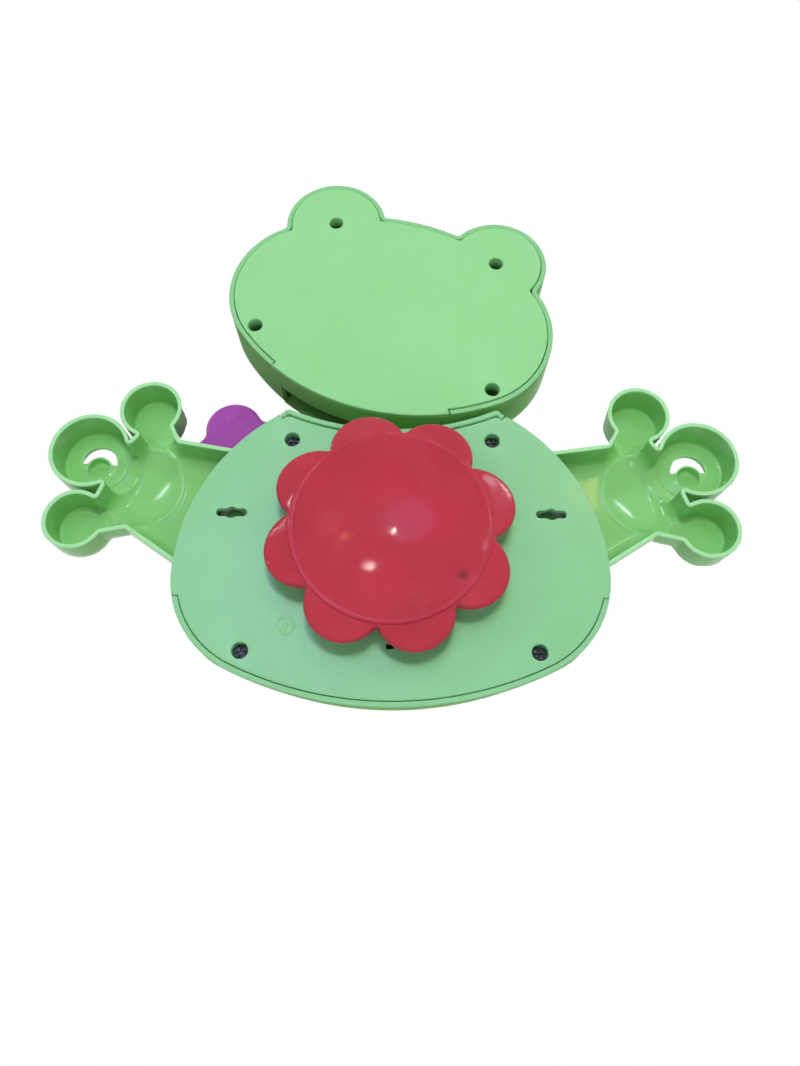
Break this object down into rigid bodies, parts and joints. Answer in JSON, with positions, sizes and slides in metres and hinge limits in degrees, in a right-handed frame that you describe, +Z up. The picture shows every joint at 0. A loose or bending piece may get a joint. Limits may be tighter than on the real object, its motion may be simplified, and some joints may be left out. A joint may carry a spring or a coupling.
{
  "type": "squeaky bath toy",
  "caption": "Frog bath toy on a flower suction cup: the head and the cup-fingered arms swing, a side flower spins and a tummy button squeaks.",
  "frame": {"origin": "centre of the suction cup's rim, in the plane of the wall it sticks to", "axes": "+Y out of the toy's back towards the wall, +Z up, +X to the frog's own left"},
  "size_m": [0.2954, 0.0593, 0.2523],
  "materials": {
    "frog_green": "gloss",
    "inner_green": "satin",
    "red_rubber": "soft gloss",
    "purple": "gloss",
    "steel": "plated",
    "white": "gloss",
    "black": "gloss",
    "yellow": "gloss",
    "nylon": "satin",
    "milky_rubber": "soft satin"
  },
  "bodies": {
    "frog_body": {"body_back_plate": "frog_green", "body_front_shell": "frog_green", "body_screws": "steel", "neck_post": "inner_green", "neck_screws": "steel", "squeaker_bellows": "milky_rubber", "squeaker_reed": "nylon", "squeaker_seat": "inner_green", "shoulder_washers": "nylon", "wheel_axle": "steel"},
    "suction": {"suction_flower": "red_rubber", "suction_clip": "nylon"},
    "head": {"head_back_plate": "frog_green", "head_front_shell": "frog_green", "head_screws": "steel", "head_pivot_pin": "steel", "left_eye": "white", "right_eye": "white", "left_pupil": "black", "right_pupil": "black"},
    "left_arm": {"left_arm": "frog_green"},
    "right_arm": {"right_arm": "frog_green"},
    "flower": {"flower_wheel": "purple", "wheel_cap": "yellow"},
    "button": {"tummy_button": "milky_rubber"}
  },
  "joints": [
    {"name": "head_swing", "type": "hinge", "parent": "frog_body", "child": "head", "pos_m": [0, -0.0372, 0.1175], "axis": [0, 1, 0], "range_deg": [-2.9, 37.1]},
    {"name": "left_arm_swing", "type": "hinge", "parent": "frog_body", "child": "left_arm", "pos_m": [0.0658, -0.0311, 0.0112], "axis": [0, -1, 0], "range_deg": [-15, 23]},
    {"name": "right_arm_swing", "type": "hinge", "parent": "frog_body", "child": "right_arm", "pos_m": [-0.0658, -0.0311, 0.0112], "axis": [0, 1, 0], "range_deg": [-13, 25]},
    {"name": "flower_spin", "type": "hinge", "parent": "frog_body", "child": "flower", "pos_m": [0.065, -0.0523, 0.036], "axis": [0, -1, 0], "continuous": true},
    {"name": "tummy_button_press", "type": "slide", "parent": "frog_body", "child": "button", "axis": [0, 1, 0], "range_m": [0, 0.005], "stiffness_N_per_m": 500, "springref_m": -0.002, "deforming": ["squeaker_bellows"]},
    {"name": "suction_turn", "type": "hinge", "parent": "frog_body", "child": "suction", "pos_m": [0, -0.0185, 0], "axis": [0, 1, 0], "continuous": true}
  ]
}
